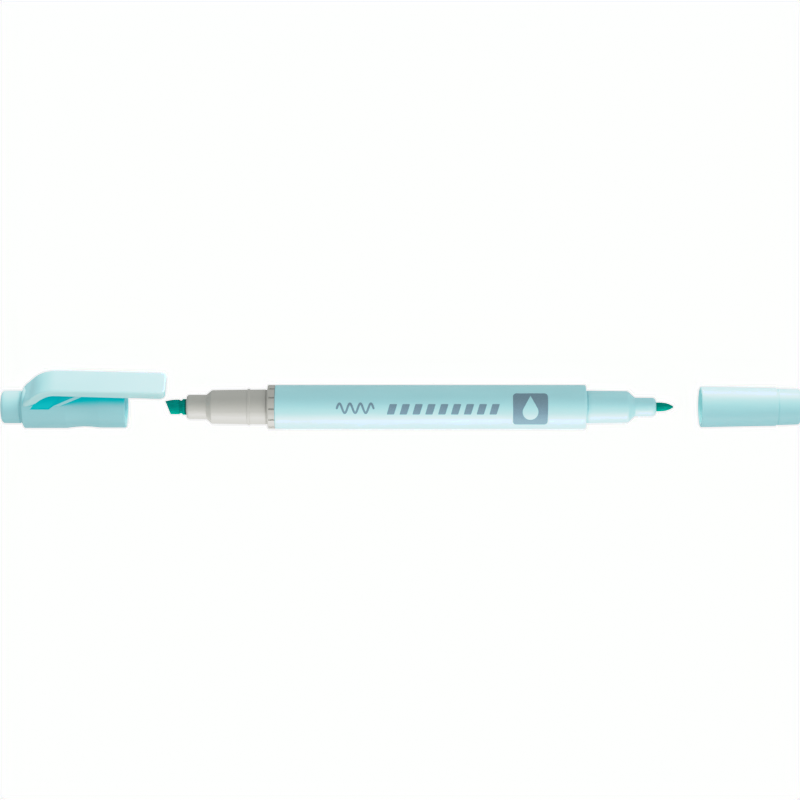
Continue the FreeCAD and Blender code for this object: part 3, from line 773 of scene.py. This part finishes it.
OGIVE_LONG = 3.8  # the nib's pointed end ...
OGIVE_POWER = 2.4  # ... which narrows by (distance ** power) / scale
OGIVE_SCALE = 24.8
POINT_ROUND = 0.22


def make_fine_nib():
    start = face_x("fine_nib", -1) - FINE_FACE
    tip = face_x("fine_nib", 1) - FINE_FACE
    radius = radius_of("fine_nib")
    steps = 12
    outline = []
    for step in range(steps + 1):
        along = (OGIVE_LONG - POINT_ROUND) * step / steps
        narrowed = radius - along ** OGIVE_POWER / OGIVE_SCALE
        outline.append((tip - OGIVE_LONG + along, narrowed, 0))
    point = outline[-1][1]
    for turn in (math.radians(degrees) for degrees in (20, 40, 60, 75)):
        outline.append((tip - POINT_ROUND * (1 - math.sin(turn)), point * math.cos(turn), 0))
    piece = lathe("fine_nib_rod", [
        (start, 0, 0),
        (start, radius, 0),
        *outline,
        (tip, 0, 0),
    ], FINE_FACE, 1, closed=False)
    stand_for(piece, "fine_nib", "pen", NIB)


# ---- the clip cap

CAP_END_R = 5.58
CAP_BORE_R = 4.72
WAIST = (6.9, 15.5, 0.36)  # start, end and depth of the finger hollow
POCKET_FLOOR = 3.42
POCKET_WALL_R = 5.15  # the wall left round the bore
POCKET = ((19.8, POCKET_FLOOR), (24.7, POCKET_FLOOR), (22.3, 5.88), (15.35, 5.88))


def waisted(station, radius, angle):
    """A shallow hollow round the cap, an arc in section, for the fingers."""
    start, end, depth = WAIST
    if radius < CAP_END_R - 0.28 or not start < station < end:
        return radius
    middle = (start + end) / 2
    half = (end - start) / 2
    return radius - depth * (1 - ((station - middle) / half) ** 2)


def make_clip_cap_body():
    length = CLIP_MOUTH - face_x("clip_cap_shell", -1)
    liner_seat, knob_seat = 4.87, 4.37
    piece = lathe("clip_cap_body", [
        (0, liner_seat, 0.22),
        (8.1, liner_seat, 0),
        (8.5, CAP_BORE_R, 0),
        (length - 1.05, CAP_BORE_R, 0),
        (length - 1.05, knob_seat, 0),
        (length, knob_seat, 0.06),
        (26.8, CAP_END_R, 0.25),
        (WAIST[1], CAP_END_R, 0),
        (WAIST[0], 5.5, 0),
        (0, 5.5, 0.35),
    ], CLIP_MOUTH, -1, shape=waisted)
    piece = boolean(piece, make_pocket(), "DIFFERENCE")
    piece = boolean(piece, make_brace(), "UNION")
    even_normals(piece)
    stand_for(piece, "clip_cap_shell", "clip_cap", PASTEL_SHADED)
    # painted shade: the faces of the hollow under the clip take the dark teal copy
    piece.data.materials.append(PASTEL_PAINTED_SHADE)
    for face in piece.data.polygons:
        face.material_index = int(in_pocket(face.center, face.normal))


def in_pocket(place, normal):
    """True for a face of the hollow under the clip, apart from the brace's flat sides."""
    station = CLIP_MOUTH - place.x / MM
    radius = math.hypot(place.y, place.z) / MM
    if not 15 < station < 25.5 or place.z / MM < POCKET_FLOOR - 0.22 or radius > CAP_END_R - 0.1:
        return False
    past_bore = radius > 5.0 or abs(normal.x) > 0.3
    return past_bore and abs(normal.y) < 0.9


CLIP_HALF = (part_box("clip_arm")[1].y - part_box("clip_arm")[0].y) / 2 / MM
CLIP_TIP = face_x("clip_arm", 1) - CLIP_MOUTH
RAMP_FOOT = Vector((26.5, 4.57))
BEND = Vector((21.5, 9.95))
BEND_R = 8.5
TIP_TOP = Vector((-CLIP_TIP, 8.87))
CLIP_THICK = (2.07, 2.35)  # at the bend and at the tip
RAMP_THICK = 2.3
TIP_ROUND = 1.6
EDGE_ROUND = 0.35
FOOT_ROUND = 1.25  # the ramp's foot has rounder edges ...
FOOT_REACH = (0.4, 3.4)  # ... which fade out over this distance from it
FOOT_LIFT = 0.4
CLIP_BEND = (-0.8, 4.5)  # where the bend starts and ends, past the hinge
BUMP_HIGH = 0.6
BUMP_STATION = -8.0
BUMP_HALF = 1.8


def clip_path():
    """(point, outward normal) along the clip's outer face, in (station, height) mm."""
    ramp = (BEND - RAMP_FOOT).normalized()
    flat = (TIP_TOP - BEND).normalized()
    reach = BEND_R * math.tan(ramp.angle(flat) / 2)
    ramp_normal = Vector((ramp.y, -ramp.x))
    flat_normal = Vector((flat.y, -flat.x))
    ramp_end = BEND - ramp * reach
    flat_start = BEND + flat * reach
    centre = ramp_end - ramp_normal * BEND_R
    ramp_steps, bend_steps, flat_steps = 6, 12, 48
    path = [(RAMP_FOOT.lerp(ramp_end, step / ramp_steps), ramp_normal)
            for step in range(1, ramp_steps)]
    for step in range(bend_steps + 1):
        normal = ramp_normal.slerp(flat_normal, step / bend_steps)
        path.append((centre + normal * BEND_R, normal))
    length = (TIP_TOP - flat_start).length
    straight = [length * step / flat_steps for step in range(1, flat_steps)]
    straight = [along for along in straight if along < length - TIP_ROUND - 0.05]
    tip = [length - TIP_ROUND * (1 - math.sin(math.radians(turn))) for turn in range(0, 75, 12)]
    tip += [length - back for back in (0.035, 0.012, 0.0)]
    path += [(flat_start + flat * along, flat_normal) for along in straight + tip]
    return path


def clip_ring(point, normal, foot=False):
    """One section of the clip across the path. The foot's section is sunk into the cap."""
    station = point.x
    share = max(0.0, min(1.0, (BEND.x - station) / (BEND.x + CLIP_TIP)))
    thick = CLIP_THICK[0] + (CLIP_THICK[1] - CLIP_THICK[0]) * share
    from_tip = station + CLIP_TIP
    narrow = corner_inset(from_tip, TIP_ROUND)
    thin = corner_inset(from_tip, EDGE_ROUND)
    near_foot = 1 - smooth_step((point - RAMP_FOOT).length, *FOOT_REACH)
    edge = EDGE_ROUND + (FOOT_ROUND - EDGE_ROUND) * near_foot
    thick += (RAMP_THICK - thick) * smooth_step(normal.x, 0.1, 0.6)
    point = point + normal * (FOOT_LIFT * near_foot)
    thick += FOOT_LIFT * near_foot
    outline = rounded_rectangle(CLIP_HALF - narrow, thick / 2 - thin, edge, 14, side_steps=3)
    ring = []
    for across, up in outline:
        down = thick / 2 - up
        if foot:
            down = down * 1.45 - 0.02
        bump = grip_bump(station, across) if up < -thick / 2 + 0.4 else 0.0
        place = point - normal * (down + bump)
        ring.append(clip_point(place, across))
    return ring


def corner_inset(from_end, radius):
    """How far a round corner of this radius pulls a side in, this near the end."""
    if from_end >= radius:
        return 0.0
    short = radius - max(0.0, from_end)
    return radius - math.sqrt(max(0.0, radius * radius - short * short))


def grip_bump(station, across):
    """The low rounded bump under the clip's tip that holds it to the pen."""
    along = 1 - ((station - BUMP_STATION) / BUMP_HALF) ** 2
    side = 1 - smooth_step(abs(across), 1.1, 2.0)
    return BUMP_HIGH * math.sqrt(max(0.0, along)) * side


def make_clip():
    foot = clip_ring(RAMP_FOOT, Vector((0, 1)), foot=True)
    rings = [foot] + [clip_ring(point, normal) for point, normal in clip_path()]
    piece = sweep("clip", rings, 40)
    piece = boolean(piece, bore_cutter("clip_bore", 20, 30), "DIFFERENCE")
    even_normals(piece)
    coat(piece, PASTEL_CLIP)
    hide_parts("clip_arm")
    start, end = (CLIP_HINGE + Vector((along * MM, 0, 0)) for along in CLIP_BEND)
    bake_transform(piece, "clip_cap", "clip", start=start, end=end)


def bore_cutter(name, start, end):
    """A plug that clears the cap's bore of what is sunk into its wall from outside."""
    return plug(name, 5.1, start, end)


def plug(name, radius, start, end):
    """A solid round bar in the clip cap's axis."""
    return lathe(name, [(start, 0, 0), (start, radius, 0), (end, radius, 0), (end, 0, 0)],
                 CLIP_MOUTH, -1, closed=False)


def clip_point(place, across):
    """A point in metres from a (station, height) place and a distance across the clip."""
    return Vector(((CLIP_MOUTH - place[0]) * MM, across * MM, place[1] * MM))


def make_pocket():
    """Cuts the hollow under the clip down to a flat floor, and leaves the wall round the bore."""
    rings = [[clip_point(place, across) for place in POCKET]
             for across in (-CAP_END_R, CAP_END_R)]
    pocket = sweep("clip_pocket", rings)
    return boolean(pocket, plug("pocket_wall", POCKET_WALL_R, 10, 30), "DIFFERENCE")


BRACE_FOOT = Vector((19.8, 2.3))
BRACE_TOP = Vector((10.9, 7.43))
BRACE_RISE = 1.1


def make_brace():
    """The thin diagonal leaf between the cap's back and the clip's inner face."""
    half = CLIP_HALF - 0.08
    direction = (BRACE_TOP - BRACE_FOOT).normalized()
    normal = Vector((-direction.y, direction.x))
    if normal.y < 0:
        normal.negate()
    thick = BRACE_RISE * abs(direction.x)
    outline = rounded_rectangle(half, thick / 2, 0.14, 8, corner_steps=3)
    steps = 10
    rings = []
    for step in range(steps + 1):
        centre = BRACE_FOOT.lerp(BRACE_TOP + direction * 0.35, step / steps) + normal * (thick / 2)
        rings.append([clip_point(centre + normal * up, across) for across, up in outline])
    leaf = sweep("clip_brace", rings, 40)
    return boolean(leaf, bore_cutter("brace_bore", 10, 30), "DIFFERENCE")


def make_clip_cap_knob():
    length = CLIP_MOUTH - face_x("clip_cap_shell", -1)
    end = CLIP_MOUTH - face_x("clip_cap_crown", -1)
    radius, groove = 4.34, 4.16
    piece = lathe("clip_cap_knob", [
        (length - 2.01, 3.73, 0),
        (length - 2.01, 4.71, 0),
        (length - 1.06, 4.71, 0),
        (length - 1.06, radius, 0),
        (length, radius, 0),
        (length, groove, 0),
        (length + 0.4, groove, 0.05),
        (length + 0.4, radius, 0.08),
        (end, radius, 1.0),
        (end, 0, 0),
        (end - 1.0, 0, 0),
        (end - 1.0, 3.3, 0),
        (28.3, 3.3, 0),
        (28.3, 3.73, 0),
    ], CLIP_MOUTH, -1)
    even_normals(piece)
    stand_for(piece, "clip_cap_crown", "clip_cap", PASTEL)


# ---- the fine cap

def make_fine_cap_body():
    length = face_x("fine_cap_shell", 1) - FINE_MOUTH
    piece = lathe("fine_cap_body", [
        (0, 4.41, 0.25),
        (11.6, 4.41, 0),
        (12.0, 4.24, 0),
        (length, 4.24, 0),
        (length, 5.04, 0.1),
        (0, radius_of("fine_cap_shell"), 0.4),
    ], FINE_MOUTH, 1)
    even_normals(piece)
    stand_for(piece, "fine_cap_shell", "fine_cap", PASTEL_CAP)


def make_fine_cap_tail():
    length = face_x("fine_cap_shell", 1) - FINE_MOUTH
    end = face_x("fine_cap_crown", 1) - FINE_MOUTH
    piece = lathe("fine_cap_tail", [
        (15.5, 3.32, 0),
        (15.5, 4.23, 0),
        (length, 4.23, 0),
        (length, 4.72, 0),
        (length + 0.4, 4.72, 0.04),
        (length + 0.4, 4.85, 0.06),
        (end, 4.68, 0.5),
        (end, 3.9, 0.1),
        (end - 0.12, 3.8, 0.1),
        (end - 0.12, 0, 0),
        (end - 1.35, 0, 0),
        (end - 1.35, 3.32, 0),
    ], FINE_MOUTH, 1)
    even_normals(piece)
    stand_for(piece, "fine_cap_crown", "fine_cap", PASTEL)


# ---- generic print on the barrel

INK_HIGH = 0.012
STRIP_HIGH = 0.3


def on_barrel(x, up, lift=INK_HIGH):
    """A point of the printed side: x in mm along the pen, up in mm across the side's middle."""
    turn = math.asin(up / BARREL_R)
    out = TOWARDS_CAMERA * math.cos(turn) + PICTURE_UP * math.sin(turn)
    return Vector((x * MM, 0, 0)) + out * ((BARREL_R + lift) * MM)


def printed(name, areas):
    """Thin raised ink over areas, each a list of convex (x, up) polygons that share edges."""
    bm = bmesh.new()
    for area in areas:
        ink_area(bm, area)
    piece = finish_mesh(name, bm)
    coat(piece, INK)
    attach(piece, "pen")


def ink_area(bm, polygons):
    """A closed slab of ink, cut into strips that follow the barrel's curve."""
    flat = bmesh.new()
    for polygon in polygons:
        flat.faces.new([flat.verts.new((x, up, 0)) for x, up in polygon])
    bmesh.ops.remove_doubles(flat, verts=flat.verts, dist=1e-5)
    heights = [up for polygon in polygons for _, up in polygon]
    low, high = min(heights), max(heights)
    strips = max(1, round((high - low) / STRIP_HIGH))
    for strip in range(1, strips):
        height = low + (high - low) * strip / strips
        geometry = flat.verts[:] + flat.edges[:] + flat.faces[:]
        bmesh.ops.bisect_plane(flat, geom=geometry, plane_co=(0, height, 0), plane_no=(0, 1, 0))
    bmesh.ops.triangulate(flat, faces=[face for face in flat.faces if len(face.verts) > 4])
    for face in flat.faces:
        places = [(vert.co.x, vert.co.y) for vert in face.verts]
        bm.faces.new([bm.verts.new(on_barrel(x, up)) for x, up in places])
        bm.faces.new([bm.verts.new(on_barrel(x, up, -INK_HIGH)) for x, up in reversed(places)])
    for edge in flat.edges:
        if len(edge.link_faces) == 1:
            a, b = (vert.co for vert in edge.verts)
            wall = [on_barrel(a.x, a.y), on_barrel(b.x, b.y),
                    on_barrel(b.x, b.y, -INK_HIGH), on_barrel(a.x, a.y, -INK_HIGH)]
            bm.faces.new([bm.verts.new(point) for point in wall])
    flat.free()


def arc(x, up, radius, start, degrees, steps):
    """Points on an arc, angles in degrees."""
    turns = [math.radians(start + degrees * step / steps) for step in range(steps + 1)]
    return [(x + radius * math.cos(turn), up + radius * math.sin(turn)) for turn in turns]


def wave(x0, x1, up, high, half, humps):
    """A thin wavy stroke with round ends, as a fine tip draws it."""
    steps_a_hump, cap_steps = 14, 8
    steps = humps * steps_a_hump
    line = []
    for step in range(steps + 1):
        share = step / steps
        rise = high * math.sin(share * humps * math.pi)
        line.append(Vector((x0 + (x1 - x0) * share, up + rise)))
    above, below = [], []
    for index, place in enumerate(line):
        along = line[min(index + 1, steps)] - line[max(index - 1, 0)]
        across = Vector((-along.y, along.x)).normalized() * half
        above.append(tuple(place + across))
        below.append(tuple(place - across))
    strip = [[below[n], below[n + 1], above[n + 1], above[n]] for n in range(steps)]
    for place, first, last in ((line[0], above[0], below[0]), (line[-1], below[-1], above[-1])):
        turn = math.degrees(math.atan2(first[1] - place.y, first[0] - place.x))
        strip.append([first, *arc(place.x, place.y, half, turn, 180, cap_steps)[1:-1], last])
    return strip


def rounded_box(x0, x1, low, high, corner, corner_steps):
    """Points round an upright rectangle with round corners."""
    points = []
    for x, up, start in ((x1 - corner, low + corner, -90), (x1 - corner, high - corner, 0),
                         (x0 + corner, high - corner, 90), (x0 + corner, low + corner, 180)):
        points += arc(x, up, corner, start, 90, corner_steps)
    return points


def slanted_bar(x, low, high, wide):
    """A bold slanted stroke with slightly round corners."""
    slant = 0.3
    upright = rounded_box(x, x + wide, low, high, 0.18, 4)
    return [(px + slant * (up - low), up) for px, up in upright]


def drop_outline(x, up, radius, point):
    """A drop: a round bottom whose sides run up to a point."""
    touch = math.degrees(math.acos(radius / (radius + point)))
    turns = arc(x, up, radius, 90 + touch, 360 - 2 * touch, 28)
    return turns + [(x, up + radius + point)]


def make_print():
    """A thin wave, bold strokes and a plain badge with a drop, in place of any lettering."""
    printed("print_fine_sample", [wave(-24.5, -14.9, -0.35, 1.25, 0.29, 7)])
    bars = [slanted_bar(-11.5 + 3.35 * number, -2.0, 0.75, 1.95) for number in range(9)]
    printed("print_broad_sample", [[bar] for bar in bars])
    badge = rounded_box(21.5, 30.65, -4.62, 3.55, 0.9, 6)
    middle = Vector((26.08, -0.9))
    drop = drop_outline(middle.x, -1.3, 2.05, 2.2)
    printed("print_badge", [between(badge, drop, middle)])


def between(outer, inner, middle):
    """The area between two outlines round a middle, as slices along rays from the middle."""
    turns = []
    for x, y in outer + inner:
        turns.append(round(math.atan2(y - middle.y, x - middle.x), 6))
    turns = sorted(set(turns))
    far = [ray_hit(outer, middle, turn) for turn in turns]
    near = [ray_hit(inner, middle, turn) for turn in turns]
    slices = []
    for number in range(len(turns)):
        after = (number + 1) % len(turns)
        slices.append([near[number], far[number], far[after], near[after]])
    return slices


def ray_hit(outline, middle, turn):
    """Where a ray from the middle crosses an outline that goes once round it."""
    ray = Vector((math.cos(turn), math.sin(turn)))
    reach = 0.0
    for index, start in enumerate(outline):
        a = Vector(start) - middle
        span = Vector(outline[(index + 1) % len(outline)]) - middle - a
        cross = ray.x * span.y - ray.y * span.x
        if abs(cross) < 1e-12:
            continue
        along = (a.x * span.y - a.y * span.x) / cross
        share = (a.x * ray.y - a.y * ray.x) / cross
        if along > 0 and -1e-6 <= share <= 1 + 1e-6:
            reach = along
    return tuple(middle + ray * reach)


# ---- carried-over CAD pieces

def coat_frame():
    for node, material in (("ink_reservoir", WICK), ("reservoir_film", FILM),
                           ("clip_cap_liner", NATURAL), ("fine_cap_liner", NATURAL)):
        coat(frame["nodes"][node], material)


# ---- studio

PICTURE_MIDDLE = Vector(((CHISEL_FACE + 32.85) * MM, 0, 0))
PICTURE_WIDE = 0.2106  # metres, at the pen
CAMERA_AWAY = 0.65  # metres
CAMERA_RISE = 1.82
SENSOR = 36.0
FLOOR_Z = -0.09  # metres
FLOOR_HALF = 6.0  # metres
FLOOR_COLOUR = (0.78, 0.78, 0.78, 1)
LIGHT_AWAY = 0.5  # metres
WARM_WHITE = (1.0, 0.955, 0.945)
WIDE_PANEL = (0.6, 0.35)  # metres
NARROW_PANEL = (0.6, 0.2)
CLIP_KEY = 5.3  # watts
FINE_KEY = 4.0
PEN_KEY = 4.6
WORLD_LIGHT = 0.95
WHITE = 1.4  # the light that the picture shows as white
TONES = ((0.25, 0.25), (0.6, 0.6), (0.8, 0.735), (1.0, 0.80), (1.2, 0.85), (1.35, 0.9))


def make_camera():
    middle = PICTURE_MIDDLE + PICTURE_UP * (CAMERA_RISE * MM)
    data = bpy.data.cameras.new("camera")
    data.sensor_width = SENSOR
    data.lens = SENSOR * CAMERA_AWAY / PICTURE_WIDE
    data.clip_start = 0.01
    data.clip_end = 20
    camera = bpy.data.objects.new("camera", data)
    camera.location = middle + TOWARDS_CAMERA * CAMERA_AWAY
    camera.rotation_euler = (-TOWARDS_CAMERA).to_track_quat("-Z", "Y").to_euler()
    bpy.context.scene.collection.objects.link(camera)
    bpy.context.scene.camera = camera


def make_floor():
    """A plain pale floor well below the pen. The camera sees it evenly lit."""
    bm = bmesh.new()
    corners = [(-1, -1), (1, -1), (1, 1), (-1, 1)]
    bm.faces.new([bm.verts.new((x * FLOOR_HALF, y * FLOOR_HALF, FLOOR_Z)) for x, y in corners])
    floor = finish_mesh("floor", bm)
    material = bpy.data.materials.new("pale_floor")
    material.use_nodes = True
    tree = material.node_tree
    tree.nodes.clear()
    output = tree.nodes.new("ShaderNodeOutputMaterial")
    mix = tree.nodes.new("ShaderNodeMixShader")
    matt = tree.nodes.new("ShaderNodeBsdfDiffuse")
    matt.inputs["Color"].default_value = FLOOR_COLOUR
    glow = tree.nodes.new("ShaderNodeEmission")
    glow.inputs["Strength"].default_value = WHITE
    path = tree.nodes.new("ShaderNodeLightPath")
    tree.links.new(path.outputs["Is Camera Ray"], mix.inputs["Fac"])
    tree.links.new(matt.outputs["BSDF"], mix.inputs[1])
    tree.links.new(glow.outputs["Emission"], mix.inputs[2])
    tree.links.new(mix.outputs["Shader"], output.inputs["Surface"])
    floor.data.materials.append(material)
    floor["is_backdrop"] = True


def soft_light(name, direction, power, size, lit):
    """A soft panel that shines from a direction on some pieces, which alone can shade it."""
    data = bpy.data.lights.new(name, "AREA")
    data.shape = "RECTANGLE"
    data.size, data.size_y = size
    data.energy = power
    data.color = WARM_WHITE
    light = bpy.data.objects.new(name, data)
    light.location = PICTURE_MIDDLE + direction.normalized() * LIGHT_AWAY
    light.rotation_euler = (-direction).to_track_quat("-Z", "Y").to_euler()
    bpy.context.scene.collection.objects.link(light)
    group = bpy.data.collections.new(name + "_pieces")
    for piece in lit:
        group.objects.link(piece)
    light.light_linking.receiver_collection = group
    light.light_linking.blocker_collection = group


def soften_highlights(view):
    """The camera's response: straight up to mid tones, then bending over to white."""
    view.view_transform = "Standard"
    view.use_curve_mapping = True
    curve = view.curve_mapping
    curve.white_level = (WHITE, WHITE, WHITE)
    curve.extend = "HORIZONTAL"
    combined = curve.curves[3]
    for level, shown in TONES:
        combined.points.new(level / WHITE, shown)
    curve.update()


def make_room():
    """Even light from all sides, a little dimmer from the clip cap's end and from picture top."""
    world = bpy.data.worlds.new("studio")
    world.use_nodes = True
    tree = world.node_tree
    sky = tree.nodes["Background"]
    place = tree.nodes.new("ShaderNodeTexCoord")
    strength = None
    for direction, low, high in ((Vector((1, 0, 0)), 0.7, 1.15), (PICTURE_UP, 1.1, 0.86)):
        along = tree.nodes.new("ShaderNodeVectorMath")
        along.operation = "DOT_PRODUCT"
        along.inputs[1].default_value = direction
        tree.links.new(place.outputs["Generated"], along.inputs[0])
        light = tree.nodes.new("ShaderNodeMapRange")
        light.inputs["From Min"].default_value = -1.0
        light.inputs["To Min"].default_value = low
        light.inputs["To Max"].default_value = high
        tree.links.new(along.outputs["Value"], light.inputs["Value"])
        both = tree.nodes.new("ShaderNodeMath")
        both.operation = "MULTIPLY"
        both.inputs[0].default_value = WORLD_LIGHT
        if strength:
            tree.links.new(strength, both.inputs[0])
        tree.links.new(light.outputs["Result"], both.inputs[1])
        strength = both.outputs[0]
    tree.links.new(strength, sky.inputs["Strength"])
    sky.inputs["Color"].default_value = (1, 1, 1, 1)
    bpy.context.scene.world = world


def make_studio():
    """A soft key and a weak fill for each loose part, which the photo lights from two sides."""
    make_room()
    soften_highlights(bpy.context.scene.view_settings)
    lit = {"pen": [], "clip_cap": [], "fine_cap": []}
    part_of = {"nib_tip": "pen", "clip": "clip_cap"}
    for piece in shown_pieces():
        body = body_of(piece)[0]
        lit[part_of.get(body, body)].append(piece)
    above = PICTURE_UP + TOWARDS_CAMERA * 0.2
    below = TOWARDS_CAMERA * 0.3 - PICTURE_UP
    above_right = above + Vector((0.6, 0, 0))
    for part, key_side, key, fill_side, fill in (
            ("clip_cap", above_right, CLIP_KEY, below, 0.07),
            ("fine_cap", above, FINE_KEY, below, 0.17),
            ("pen", below, PEN_KEY, above, 0.04)):
        soft_light("key_on_" + part, key_side, key, WIDE_PANEL, lit[part])
        soft_light("fill_on_" + part, fill_side, key * fill, NARROW_PANEL, lit[part])


make_barrel()
make_chisel_section()
make_chisel_nib()
make_fine_section()
make_fine_nib()
make_clip_cap_body()
make_clip()
make_clip_cap_knob()
make_fine_cap_body()
make_fine_cap_tail()
make_print()
coat_frame()
make_camera()
make_floor()
make_studio()
